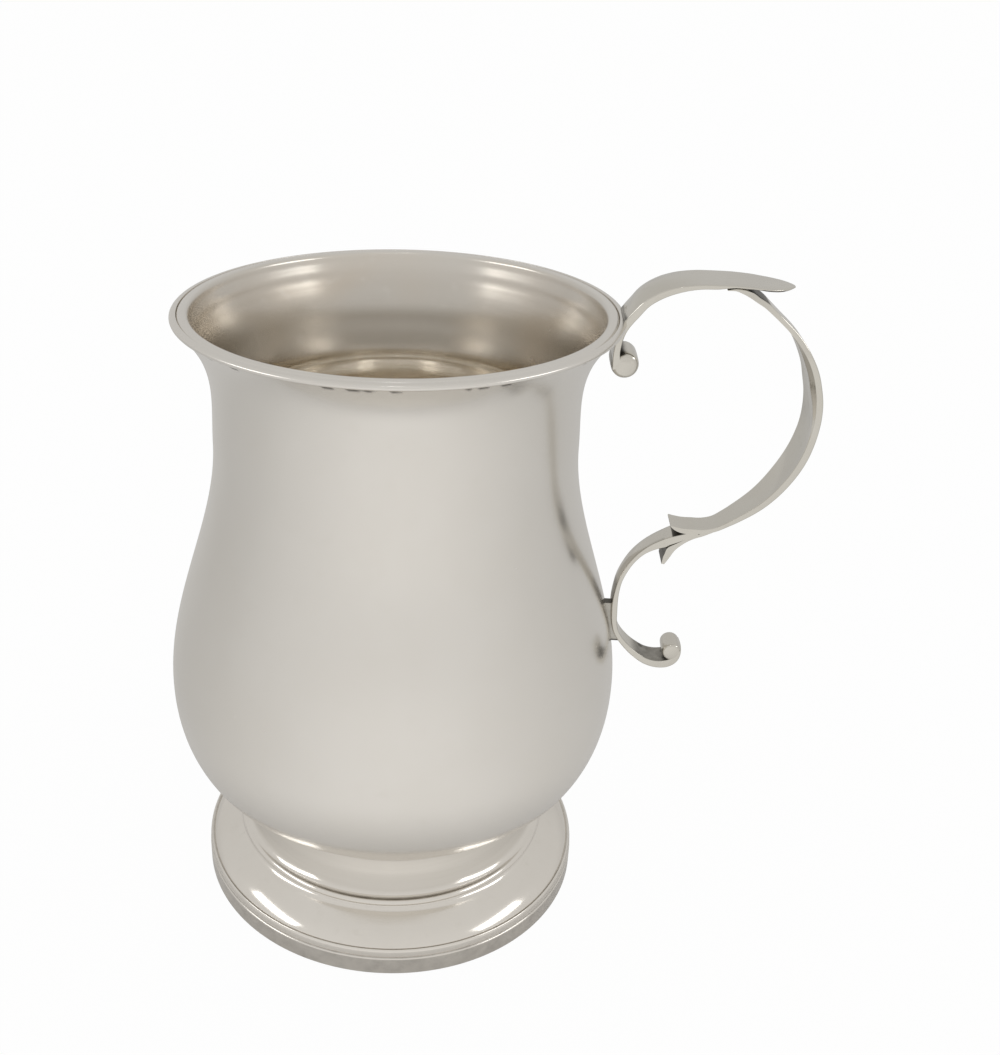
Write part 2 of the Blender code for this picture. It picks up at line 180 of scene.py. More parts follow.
# strap between two edge lines of the handle's plane: the section stretched from under to over, its over face
# raised by crown (1 - v^2), its under face drawn in by hollow (1 - v^2); the ends close in a point
def strapGrid(under, over, half, low, high, crown=0.0, lowAcross=None, hollow=0.0):
    centreV, centreW, outV, outW = strapSection(lowAcross is not None)

    def column(values):
        return (values + np.zeros(len(under)))[:, None]

    gap = over - under
    thick = np.linalg.norm(gap, axis=1)[:, None]
    half = column(half)
    # the corners never take up the whole section
    high = np.minimum(column(high), 0.45 * np.minimum(thick, half))
    low = np.minimum(column(low), 0.95 * thick - high)
    across = low if lowAcross is None else column(lowAcross)
    k = (centreW + 1) / 2
    v = centreV * (half - across * (1 - k) - high * k) + outV * (across * (1 - k) + high * k)
    w = low * (1 - k) + (thick - high) * k + outW * (low * (1 - k) + high * k)
    w = w + (column(crown) * k + column(hollow) * (1 - k)) * (1 - (v / half) ** 2)
    share = w / thick
    s = under[:, :1] + gap[:, :1] * share
    z = under[:, 1:] + gap[:, 1:] * share
    grid = np.stack([handleX + s, v, z * handleRise], -1)
    ends = [np.broadcast_to(row.mean(0), row.shape)[None] for row in (grid[0], grid[-1])]
    return np.concatenate([ends[0], grid, ends[1]])


# roll across the handle: radius swells by 1 - (2y/L)^2 between eased ends, and the end faces
# stand out by dome (1 - (r/R)^2)
def rollGrid(centre, length, radius, swell, ease, dome, segments=128):
    a = np.linspace(0, 2 * np.pi, segments, endpoint=False)
    q = np.linspace(0, np.pi / 2, 7)
    face = np.linspace(0, radius - ease, 14)[:-1]
    along = np.linspace(length / 2 - ease, 0, 16)[1:]
    r = np.concatenate([face, radius - ease + ease * np.sin(q),
                        radius + swell * (1 - (2 * along / length) ** 2)])
    y = np.concatenate([length / 2 + dome * (1 - (face / (radius - ease)) ** 2),
                        length / 2 - ease * (1 - np.cos(q)), along])
    r, y = np.concatenate([r, r[-2::-1]])[:, None], np.concatenate([y, -y[-2::-1]])[:, None]
    x = handleX + centre[0] + r * np.cos(a)
    z = centre[1] * handleRise + r * np.sin(a)
    return np.stack([x, y + 0 * a, z], -1)


finishes = {}


# grid points joined by quads, columns always closing on themselves, rows where wrapped;
# doubles merged, normals turned out, edges sharper than the angle kept crisp
def gridPiece(name, node, finish, grid, sharp=40, wrapRows=False, tarnish=None, inside=None):
    rows, columns = grid.shape[:2]
    index = np.arange(rows * columns).reshape(rows, columns)
    across, up = np.roll(index, -1, 1), np.roll(index, -1, 0)
    quads = np.stack([index, across, np.roll(across, -1, 0), up], -1)
    quads = (quads if wrapRows else quads[:-1]).reshape(-1, 4)
    mesh = bpy.data.meshes.new(name)
    mesh.vertices.add(rows * columns)
    mesh.vertices.foreach_set("co", (grid * mm).astype(np.float32).ravel())
    mesh.loops.add(quads.size)
    mesh.loops.foreach_set("vertex_index", quads.astype(np.int32).ravel())
    mesh.polygons.add(len(quads))
    mesh.polygons.foreach_set("loop_start", np.arange(0, quads.size, 4, dtype=np.int32))
    mesh.update(calc_edges=True)
    for key, values in (("tarnish", tarnish), ("inside", inside)):
        values = np.zeros((rows, columns)) if values is None else values + np.zeros((rows, columns))
        layer = mesh.attributes.new(key, "FLOAT", "POINT")
        layer.data.foreach_set("value", values.astype(np.float32).ravel())
    welded = bmesh.new()
    welded.from_mesh(mesh)
    bmesh.ops.remove_doubles(welded, verts=welded.verts, dist=1e-6)
    bmesh.ops.recalc_face_normals(welded, faces=welded.faces)
    welded.to_mesh(mesh)
    welded.free()
    mesh.shade_smooth()
    mesh.set_sharp_from_angle(angle=math.radians(sharp))
    mesh.materials.append(finishes[finish])
    piece = bpy.data.objects.new(name, mesh)
    bpy.context.scene.collection.objects.link(piece)
    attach(piece, "root")
    if node:
        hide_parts(node)
    print("made", name, len(mesh.polygons), "faces")


# material helpers

# a socket of a node tree; sums on it add Math nodes, and node() adds any other node
class Wire:
    def __init__(self, tree, socket=None):
        self.tree, self.socket = tree, socket

    def node(self, kind, settings=None, links=None, out=0):
        made = self.tree.nodes.new(kind)
        for key, value in (settings or {}).items():
            if key == "stops":
                ramp = made.color_ramp.elements
                while len(ramp) < len(value):
                    ramp.new(0.5)
                for stop, (place, colour) in zip(ramp, value):
                    stop.position, stop.color = place, (*colour, 1)
            else:
                setattr(made, key, value)
        for key, value in (links or {}).items():
            if isinstance(value, Wire):
                self.tree.links.new(value.socket, made.inputs[key])
            else:
                made.inputs[key].default_value = value
        return Wire(self.tree, made.outputs[out] if made.outputs else None)

    def sum(self, operation, first, second=0.0):
        return self.node("ShaderNodeMath", {"operation": operation}, {0: first, 1: second})

    def __add__(self, other): return self.sum("ADD", self, other)
    def __radd__(self, other): return self.sum("ADD", other, self)
    def __sub__(self, other): return self.sum("SUBTRACT", self, other)
    def __rsub__(self, other): return self.sum("SUBTRACT", other, self)
    def __mul__(self, other): return self.sum("MULTIPLY", self, other)
    def __rmul__(self, other): return self.sum("MULTIPLY", other, self)
    def __truediv__(self, other): return self.sum("DIVIDE", self, other)
    def __rtruediv__(self, other): return self.sum("DIVIDE", other, self)
    def __pow__(self, other): return self.sum("POWER", self, other)

    # this value taken from low..high to 0..1 along an S-curve
    def between(self, low, high):
        return self.node("ShaderNodeMapRange", {"interpolation_type": "SMOOTHSTEP"},
                         {"Value": self, "From Min": low, "From Max": high})

    # two colours mixed by this value
    def mix(self, first, second):
        def colour(c):
            return c if isinstance(c, Wire) else (*c, 1)
        return self.node("ShaderNodeMix", {"data_type": "RGBA"},
                         {0: self, 6: colour(first), 7: colour(second)}, 2)


def newTree(owner):
    owner.use_nodes = True
    owner.node_tree.nodes.clear()
    return Wire(owner.node_tree)


# noise of the finishes: its steps in a turn (turn) or a metre (fine, scale), the part of its range that shows
# (show), and the heights in metres that bound the bowl's bottom and its upper lining
texture = {
    "hairTurn": 3.0, "hairFine": 1900.0, "hairShow": (0.60, 0.78),
    "crossTilt": (0.7, 0.4, 0.9), "crossFine": (160.0, 2600.0, 160.0), "crossShow": (0.64, 0.76),
    "hairShare": 0.6, "patchScale": 90.0, "patchShow": (0.35, 0.7),
    "ringTurn": 0.4, "ringFine": 800.0, "ringShow": (0.38, 0.62), "sideRings": 0.25, "bottomDarken": 0.35,
    "liningScale": 26.0, "liningShow": (0.46, 0.66), "bottom": (0.0262, 0.036), "upper": (0.102, 0.112),
    "cloudShow": (0.3, 0.7), "mottleShow": (0.55, 0.8), "tarnishShadeShow": (0.18, 0.95),
    "cloudRough": 0.03, "scratchRough": 0.07, "tarnishShadeRough": 0.25, "bumpDepth": 0.00001,
}


# silver: a warm grey reflecting tone, clouded and mottled by noise, with hair scratches, and with tarnish and painted
# shade where the piece marks it; where it is marked as inside it has painted tones, a lining tone and turned rings
# below that
def silver(name, look):
    t = texture
    material = bpy.data.materials.new(name)
    tree = newTree(material)
    place = tree.node("ShaderNodeTexCoord", out="Object")
    centred = tree.node("ShaderNodeMapping", None, {"Vector": place, "Location": (-axisX * mm, 0, 0)})
    parts = tree.node("ShaderNodeSeparateXYZ", None, {0: centred})
    x, y, z = [Wire(tree.tree, parts.socket.node.outputs[k]) for k in range(3)]
    radius = tree.sum("SQRT", x * x + y * y)
    reach = radius + 0.0001
    east, north = x / reach, y / reach  # cosine and sine of the angle round the vessel

    def noise(scale, detail=3.0, rough=0.55, vector=centred):
        return tree.node("ShaderNodeTexNoise", {"normalize": True},
                         {"Vector": vector, "Scale": scale, "Detail": detail, "Roughness": rough})

    # one mask of tarnish and painted shade, made from the pieces' marks
    tarnish = tree.node("ShaderNodeAttribute", {"attribute_name": "tarnish"}, out="Fac")
    inside = tree.node("ShaderNodeAttribute", {"attribute_name": "inside"}, out="Fac")
    cloud = noise(look["cloudScale"], 4.0)
    mottle = noise(look["mottleScale"], 5.0, 0.65)
    # scratches run round the vessel: noise that changes slowly with the angle and fast with height and radius
    wrapped = tree.node("ShaderNodeCombineXYZ", None, {
        0: east * t["hairTurn"], 1: z * t["hairFine"] + north * t["hairTurn"], 2: radius * t["hairFine"]})
    hairs = noise(1.0, 2.0, 0.5, wrapped).between(*t["hairShow"])
    crossed = tree.node("ShaderNodeMapping", None, {
        "Vector": centred, "Rotation": t["crossTilt"], "Scale": t["crossFine"]})
    crossHairs = noise(1.0, 1.0, 0.5, crossed).between(*t["crossShow"])
    patches = noise(t["patchScale"]).between(*t["patchShow"])
    scratches = (hairs * t["hairShare"] + crossHairs * t["hairShare"]) * patches
    spun = tree.node("ShaderNodeCombineXYZ", None, {
        0: east * t["ringTurn"], 1: radius * t["ringFine"] + north * t["ringTurn"], 2: z * t["ringFine"]})
    rings = noise(1.0, 3.0, 0.6, spun)

    tarnishShade = (tarnish * (0.7 + 0.6 * mottle)).between(*t["tarnishShadeShow"])
    tone = cloud.between(*t["cloudShow"]).mix(look["tone"], look["toneWarm"])
    # painted tones inside: high up the lining is painted shade; below it the deep tone is painted light in the bowl
    # and painted shade on the foot's cove, with turned rings, and darker towards the bottom
    lining = noise(t["liningScale"], 2.0).between(*t["liningShow"]).mix(look["insideShadeTone"], look["insideShadeWarm"])
    onBottom = 1.0 - z.between(*t["bottom"])
    ringShare = rings.between(*t["ringShow"]) * (t["sideRings"] + (1 - t["sideRings"]) * onBottom)
    deepToneAndRings = (ringShare + t["bottomDarken"] * onBottom).mix(look["deepPaintedTone"], look["ringTone"])
    upper = z.between(*t["upper"])
    tone = inside.mix(tone, upper.mix(deepToneAndRings, lining))
    tone = (mottle.between(*t["mottleShow"]) * look["mottle"]).mix(tone, look["toneDull"])
    tone = (tarnishShade * look["tarnish"]).mix(tone, look["tarnishShadeTone"])
    roughness = (look["rough"] + (cloud - 0.5) * t["cloudRough"] + scratches * t["scratchRough"]
                 + tarnishShade * t["tarnishShadeRough"])
    roughness = roughness + inside * (look["insideRough"] + upper * look["insideBlur"])

    height = (cloud * look["wave"] + mottle * look["grain"] - scratches * look["scratch"]
              + inside * rings * (look["ring"] + onBottom * look["bottomRing"]))
    bump = tree.node("ShaderNodeBump", None, {"Height": height, "Strength": 1.0, "Distance": t["bumpDepth"]})
    shader = tree.node("ShaderNodeBsdfPrincipled", None, {
        "Base Color": tone, "Metallic": 1.0, "Roughness": roughness, "Normal": bump})
    tree.node("ShaderNodeOutputMaterial", None, {"Surface": shader})
    finishes[name] = material


# inside, the same silver takes painted tones: the lining high up is darker, painted shade, and the deep bowl is
# brighter, painted light
bodySilver = {
    "tone": (0.790, 0.765, 0.725), "toneWarm": (0.775, 0.748, 0.704), "toneDull": (0.735, 0.705, 0.655),
    "insideShadeTone": (0.590, 0.558, 0.508), "insideShadeWarm": (0.590, 0.535, 0.460),
    "deepPaintedTone": (0.975, 0.960, 0.930), "ringTone": (0.720, 0.675, 0.605), "tarnishShadeTone": (0.070, 0.058, 0.045),
    "cloudScale": 45.0, "mottleScale": 330.0, "mottle": 0.35, "tarnish": 0.85,
    "rough": 0.22, "insideRough": -0.14, "insideBlur": 0.15,
    "wave": 1.5, "grain": 0.06, "scratch": 0.10, "ring": 1.0, "bottomRing": 9.0,
}
# shared by the other two, which have no lining: a darker tone where they are marked as inside, painted shade on the
# foot's cove
shadedInside = {
    "insideShadeTone": (0.520, 0.480, 0.420), "insideShadeWarm": (0.500, 0.450, 0.380),
    "deepPaintedTone": (0.520, 0.480, 0.420), "ringTone": (0.460, 0.420, 0.360), "insideBlur": 0.0, "bottomRing": 0.0,
}
footSilver = {
    **shadedInside,
    "tone": (0.820, 0.787, 0.737), "toneWarm": (0.800, 0.765, 0.712), "toneDull": (0.735, 0.700, 0.642),
    "tarnishShadeTone": (0.060, 0.050, 0.040),
    "cloudScale": 60.0, "mottleScale": 380.0, "mottle": 0.45, "tarnish": 0.85,
    "rough": 0.12, "insideRough": 0.05, "wave": 0.9, "grain": 0.08, "scratch": 0.12, "ring": 0.6,
}
castSilver = {
    **shadedInside,
    "tone": (0.670, 0.649, 0.597), "toneWarm": (0.645, 0.620, 0.564), "toneDull": (0.560, 0.531, 0.473),
    "tarnishShadeTone": (0.045, 0.040, 0.032),
    "cloudScale": 90.0, "mottleScale": 420.0, "mottle": 0.55, "tarnish": 0.9,
    "rough": 0.13, "insideRough": 0.0, "wave": 3.0, "grain": 0.1, "scratch": 0.12, "ring": 0.0,
}
silver("bodySilver", bodySilver)
silver("footSilver", footSilver)
silver("castSilver", castSilver)
print("finishes made:", len(finishes))


# bowl

# marks of this and the next pieces: start, width and strength
bowl = {
    "wall": 1.0, "lipRadius": 40.7, "lipHeight": 125.1, "lipFlare": 0.90,
    "neckRadius": 35.4, "neckHeight": 101.1, "bellyRadius": 46.4, "bellyHeight": 48.8,
    "baseRadius": 29.6, "baseHeight": 24.7, "fullness": 2.18,
    "innerTop": 89.0, "innerRows": 116, "outerTop": 125.5, "outerRows": 124, "lipRows": 460, "edgeRow": 340,
    "lip": [
        (35.67, 90.0), (34.7, 94.0), (33.9, 98.0), (33.35, 102.0), (33.15, 105.5), (33.75, 109.5),
        (34.55, 113.0), (35.2, 116.0), (36.05, 119.0), (36.75, 121.0), (37.25, 122.4), (37.6, 123.6),
        (37.95, 124.6), (38.22, 125.4), (38.38, 126.0), (38.5, 126.4), (38.7, 126.72), (39.05, 126.93),
        (39.5, 127.0), (40.0, 126.96), (40.38, 126.84), (40.6, 126.62), (40.75, 126.2), (40.95, 125.8)],
    "liningEnd": 40.3, "mouthFade": (36.4, 2.0, 0.4), "mouthOver": 115, "edgeFade": (38.3, 0.9, 0.6), "edgeOver": 125,
    "wireReach": 0.55, "wireTop": 125.7, "wireMark": (0.15, 0.85),
    "collarTop": 25.6, "collarReach": 0.6, "collarMark": 0.6, "groove": (40.48, 0.1, 0.25), "grooveOver": 126,
}


# outside radius over the belly: an S-curve from belly to neck, then a cubic flare up to the lip
def bowlRadius(z):
    b = bowl
    waist = smooth((z - b["bellyHeight"]) / (b["neckHeight"] - b["bellyHeight"]))
    rise = b["lipHeight"] - b["neckHeight"]
    t = np.clip((z - b["neckHeight"]) / rise, 0, 1.05)
    flare = t * t * (3 - 2 * t) * (b["lipRadius"] - b["neckRadius"]) + (t**3 - t**2) * b["lipFlare"] * rise
    return b["bellyRadius"] + (b["neckRadius"] - b["bellyRadius"]) * waist + flare


# underside height at a radius: superellipse from the flat bottom to the belly
def bowlUnderside(r):
    b = bowl
    share = np.clip((r - b["baseRadius"]) / (b["bellyRadius"] - b["baseRadius"]), 0, 1)
    drop = (1 - share ** b["fullness"]) ** (1 / b["fullness"])
    return b["bellyHeight"] - (b["bellyHeight"] - b["baseHeight"]) * drop


# side from lip to flat bottom, drawn in by an inset
def bowlSide(inset, top):
    b = bowl
    heights = np.linspace(top, b["bellyHeight"], 300)
    upper = np.column_stack([bowlRadius(heights) - inset, heights])
    lower = quarter((b["baseRadius"], b["baseHeight"] + inset),
                    (b["bellyRadius"] - inset, b["bellyHeight"]), b["fullness"])[::-1]
    return np.vstack([upper, lower[1:]])


# lining from the bottom up, the lip's rounded edge, then the outside down to the flat bottom
def makeBowl():
    b = bowl
    outer = evenly(np.vstack([bowlSide(0, b["outerTop"]), [(0.0, b["baseHeight"])]]), b["outerRows"])
    below = bowlSide(b["wall"], b["innerTop"])
    inner = evenly(np.vstack([below, [(0.0, b["baseHeight"] + b["wall"])]]), b["innerRows"])[::-1]
    lip = throughPoints(b["lip"], b["lipRows"])
    lip = np.vstack([lip[: b["edgeRow"] : 8], lip[b["edgeRow"] :: 2]])  # finer rows over the rounded edge
    grid = turned(np.vstack([inner, lip, outer]))
    r, z = roundAxis(grid)
    isInner = np.concatenate([np.ones(len(inner)), lip[:, 0] < b["liningEnd"], np.zeros(len(outer))])[:, None]
    isInside = isInner * (1 - past(r, *b["mouthFade"]) * (z > b["mouthOver"])
                          - past(r, *b["edgeFade"]) * (z > b["edgeOver"]))
    # tarnish dashes and painted shade on the body under the rim wire, and tarnish and painted shade just over the
    # collar
    underWire = (np.exp(-((np.maximum(b["outerTop"] - z, 0) / b["wireReach"]) ** 2))
                 * dashes(grid, *b["wireMark"]) * (z < b["wireTop"]))
    overCollar = b["collarMark"] * np.exp(-((np.maximum(z - b["collarTop"], 0) / b["collarReach"]) ** 2))
    groove = past(r, *b["groove"]) * (z > b["grooveOver"])
    mark = np.maximum((1 - isInner) * np.maximum(underWire, overCollar), groove)
    gridPiece("tankardBowl", "body", "bodySilver", grid, sharp=50, tarnish=mark, inside=isInside)


# rim wire: half an ellipse outside, its straight side sunk in the lip
rimWire = {
    "radius": 40.72, "overhang": 1.28, "middle": 126.22, "rise": 0.68, "ease": 0.09,
    "seam": (125.78, -0.2), "seamMark": (0.1, 0.6), "groove": (40.84, -0.1, 0.25),
    "joint": (41.2, 0.6, 0.7), "jointHalf": 4.6,
}


def makeRimWire():
    w = rimWire
    a = np.radians(np.linspace(90, -90, 60))
    outer = np.column_stack([w["radius"] + w["overhang"] * np.cos(a), w["middle"] + w["rise"] * np.sin(a)])
    grid = turned(eased(outer, w["ease"], 84), 288)
    r, z = roundAxis(grid)
    # tarnish dashes and painted shade along the wire's underside, where it meets the body
    seam = past(z, *w["seam"]) * dashes(grid, *w["seamMark"])
    groove = past(r, *w["groove"])
    joint = np.exp(-((grid[..., 1] / w["jointHalf"]) ** 6)) * past(grid[..., 0] - axisX, *w["joint"])
    gridPiece("rimWire", "rim_wire", "bodySilver", grid, sharp=60, wrapRows=True,
              tarnish=np.maximum.reduce([seam, groove, joint]))


# collar ring: its top follows the bowl's underside, a gap below it
collar = {
    "radius": 33.9, "base": 23.1, "inner": 29.0, "ease": 0.22, "gap": 0.08,
    "over": (25.3, 0.5), "under": (23.45, -0.35), "underWithin": (33.6, -0.4), "mark": 0.7,
}


def makeCollar():
    c = collar
    r = np.linspace(c["inner"], c["radius"], 40)
    top = np.column_stack([r, bowlUnderside(r) - c["gap"]])
    loop = np.vstack([top, [(c["radius"], c["base"]), (c["inner"], c["base"])]])
    grid = turned(eased(loop, c["ease"], 80))
    r, z = roundAxis(grid)
    # tarnish and painted shade where the collar meets the bowl above and the foot below
    seam = np.maximum(past(z, *c["over"]), past(z, *c["under"]) * past(r, *c["underWithin"]))
    gridPiece("collarRing", "collar_ring", "footSilver", grid, sharp=60, wrapRows=True,
              tarnish=c["mark"] * seam)


# foot: a shell with a cove, a step, and a lower slope that rolls over at its edge
foot = {
    "wall": 1.5, "neckRadius": 29.0, "neckBase": 21.2, "top": 24.0, "stepRadius": 33.9, "stepHeight": 12.2,
    "stepNose": 1.3, "edgeRadius": 40.5, "edgeHeight": 6.0, "upperHollow": 1.7, "lowerHollow": 1.12, "ease": 0.15,
    "lowerLine": [
        (33.38, 10.9), (33.6, 10.55), (34.0, 10.2), (35.0, 9.6), (36.0, 9.0), (37.0, 8.4), (38.0, 7.78),
        (38.6, 7.36), (39.2, 6.88), (39.7, 6.42), (40.1, 5.99), (40.4, 5.55)],
    "outerSide": (28.6, 0.3), "neckMark": (21.6, 1.2, 0.3), "coveShade": (12.6, 0.8, 0.3),
    "rootRadius": (33.6, 0.7), "rootHeight": (10.6, 0.5), "rootMark": 0.3,
}


def makeFoot():
    f = foot
    nose, root = 0.4 * f["stepNose"], f["stepHeight"] - f["stepNose"]
    underStep = f["stepRadius"] - nose
    innerNeck = f["neckRadius"] - f["wall"]
    upper = quarter((underStep, f["stepHeight"]), (f["neckRadius"], f["neckBase"]), f["upperHollow"])[::-1]
    lower = throughPoints(f["lowerLine"], 160)
    outside = np.vstack([[(f["neckRadius"], f["top"])], upper,
                         [(f["stepRadius"], f["stepHeight"] - nose), (f["stepRadius"], root + nose)], lower])
    innerRoot = (underStep - f["wall"], root)
    underLower = quarter((f["edgeRadius"], f["edgeHeight"] - f["wall"]), innerRoot, f["lowerHollow"])
    underUpper = quarter((underStep, f["stepHeight"] - f["wall"]), (innerNeck, f["neckBase"]), f["upperHollow"])
    underUpper = underUpper[underUpper[:, 0] < innerRoot[0]]
    inside = np.vstack([underLower, underUpper, [(innerNeck, f["top"])]])
    grid = turned(eased(np.vstack([outside, inside]), f["ease"], 300))
    r, z = roundAxis(grid)
    outerSide = past(r, *f["outerSide"])
    # tarnish and painted shade under the collar and in the step's root
    neck = past(z, *f["neckMark"]) * outerSide
    # the cove under the bowl is marked as inside for a darker tone: painted shade
    cove = past(z, *f["coveShade"]) * outerSide
    (rootRadius, reach), (rootHeight, rise) = f["rootRadius"], f["rootHeight"]
    crease = f["rootMark"] * np.exp(-(((r - rootRadius) / reach) ** 2 + ((z - rootHeight) / rise) ** 2))
    gridPiece("footShell", "foot", "footSilver", grid, sharp=60, wrapRows=True,
              tarnish=np.maximum(neck, crease), inside=cove)


# foot band: upright band under a slim bead, with a fine groove between them
footBand = {
    "radius": 41.1, "height": 4.0, "width": 2.8, "chamfer": 0.2, "groove": 0.24, "ease": 0.08, "seat": 4.2,
    "beadFoot": 40.5, "beadReach": 0.5, "beadTop": 6.04, "beadArc": (88, -60), "beadBack": 0.4, "backDrop": 0.15,
    "grooveRise": 0.25, "grooveWithin": (41.05, -0.12, 0.5), "grooveFrom": (40.2, 0.2),
    "baseMark": (0.5, -0.5, 0.55), "bandMark": (3.9, -0.3, 0.46),
    "seatMark": (40.62, -0.1, 0.4), "seatOver": (5.7, 0.2),
}


def makeFootBand():
    f = footBand
    a = np.radians(np.linspace(*f["beadArc"], 60))
    rise = (f["beadTop"] - f["height"]) / (1 - math.sin(math.radians(f["beadArc"][1])))
    bead = np.column_stack([f["beadFoot"] + f["beadReach"] * np.cos(a), f["beadTop"] - rise + rise * np.sin(a)])
    inner, back = f["radius"] - f["width"], f["beadFoot"] - f["beadBack"]
    side = [(f["radius"] - f["groove"], f["height"]), (f["radius"], f["height"] - f["chamfer"]), (f["radius"], 0.0),
            (inner, 0.0), (inner, f["seat"]), (back, f["seat"]), (back, f["beadTop"] - f["backDrop"])]
    grid = turned(eased(np.vstack([bead, side]), f["ease"], 220))
    r, z = roundAxis(grid)
    groove = (np.exp(-(((z - f["height"]) / f["grooveRise"]) ** 2))
              * past(r, *f["grooveWithin"]) * past(r, *f["grooveFrom"]))
    # tarnish and painted shade over the band's face, a little more at its foot
    band = np.maximum(past(z, *f["baseMark"]), past(z, *f["bandMark"]))
    seat = past(r, *f["seatMark"]) * past(z, *f["seatOver"])
    gridPiece("footBand", "foot_rim", "footSilver", grid, sharp=60, wrapRows=True,
              tarnish=np.maximum.reduce([groove, band, seat]))


makeBowl()
makeRimWire()
makeCollar()
makeFoot()
makeFootBand()


# handle, in the plane of s (out from the vessel's axis) and z

# thumb strap and leaf, along the underside: s, z, thickness, half width, crown
thumbStrap = {
    "line": [
        (42.2, 118.4, 1.90, 4.09, 0.0), (41.8, 119.6, 1.50, 4.09, 0.0), (41.6, 120.7, 1.28, 4.09, 0.0),
        (41.7, 122.4, 1.20, 4.09, 0.0), (42.0, 124.1, 1.15, 4.15, 0.0), (42.7, 125.8, 1.55, 4.30, 0.05),
        (43.4, 126.9, 1.50, 4.45, 0.25), (44.2, 128.0, 1.45, 4.60, 0.5), (45.8, 130.1, 1.30, 4.80, 0.9),
        (48.2, 131.8, 1.25, 5.00, 0.8), (50.7, 132.85, 1.10, 5.10, 0.4), (54.1, 133.62, 0.85, 5.15, 0.08),
        (57.5, 133.78, 0.78, 5.10, 0.02), (60.4, 134.1, 0.42, 5.05, 0.04), (62.7, 134.0, 0.38, 5.00, 0.06),
        (64.4, 133.85, 0.38, 4.95, 0.08), (66.2, 133.6, 0.42, 4.7, 0.1), (68.3, 133.4, 0.45, 3.95, 0.1),
        (70.0, 133.35, 0.42, 2.6, 0.1), (71.0, 133.35, 0.35, 1.3, 0.05), (71.5, 133.35, 0.28, 0.5, 0.0)],
    "edge": 0.2,
    "leafFrom": (62.6, 0.8), "leafTo": (68.4, 1.8), "leafSide": (0.3, 0.3), "leafSideFrom": (64.2, 1.4),
    "barShade": (124.8, -1.2, 0.95), "barOver": 0.5,
    "solder": [(42.1, 127.4), (41.7, 126.9)], "solderReach": 0.6, "solderMark": 0.9,
}
strapLine = throughPoints(thumbStrap["line"], 260)
leafLine = strapLine[120:]  # the grip's upper end follows this


def makeThumbStrap():
    t = thumbStrap
    under = strapLine[:, :2]
    over = under + leftOf(under) * strapLine[:, 2:3]
    grid = strapGrid(under, over, strapLine[:, 3], t["edge"], t["edge"], strapLine[:, 4])
    underFace, overFace, lower = strapShares()[:3]
    s, z = alongHandle(grid)
    # painted shade under the leaf, and on the bar's lower end down by the bowl and the roll
    leafUnderShade = np.maximum(underFace, past(lower, *t["leafSide"]) * past(s, *t["leafSideFrom"]))
    leafUnderShade = leafUnderShade * past(s, *t["leafFrom"]) * (1 - past(s, *t["leafTo"]))
    barShade = past(z, *t["barShade"]) * np.maximum(underFace, t["barOver"] * overFace)
    solder = t["solderMark"] * nearPlaces(grid, t["solder"], t["solderReach"]) * overFace
    gridPiece("thumbStrap", "thumb_strap", "castSilver", grid, sharp=35,
              tarnish=np.maximum.reduce([leafUnderShade, barShade, solder]))


# upper roll, its near face level with the strap's side
upperVolute = {
    "roll": {"centre": (42.7, 118.55), "length": 8.2, "radius": 2.48, "swell": 0.1, "ease": 1.1, "dome": 0.18},
    "flankShade": (4.0, -0.2), "flankMark": 0.12, "creviceShade": [(41.6, 120.7)], "creviceReach": 1.1,
    "byBowlShade": (41.0, -0.6, 0.5),
}


def makeUpperVolute():
    u = upperVolute
    grid = rollGrid(**u["roll"])
    # painted shade round the roll's barrel, deeper at the bar and beside the bowl
    flankShade = past(np.abs(grid[..., 1]), *u["flankShade"])
    creviceShade = np.maximum(nearPlaces(grid, u["creviceShade"], u["creviceReach"]), past(alongHandle(grid)[0], *u["byBowlShade"]))
    gridPiece("upperVolute", "upper_volute", "castSilver", grid, sharp=40,
              tarnish=flankShade * (u["flankMark"] + creviceShade))


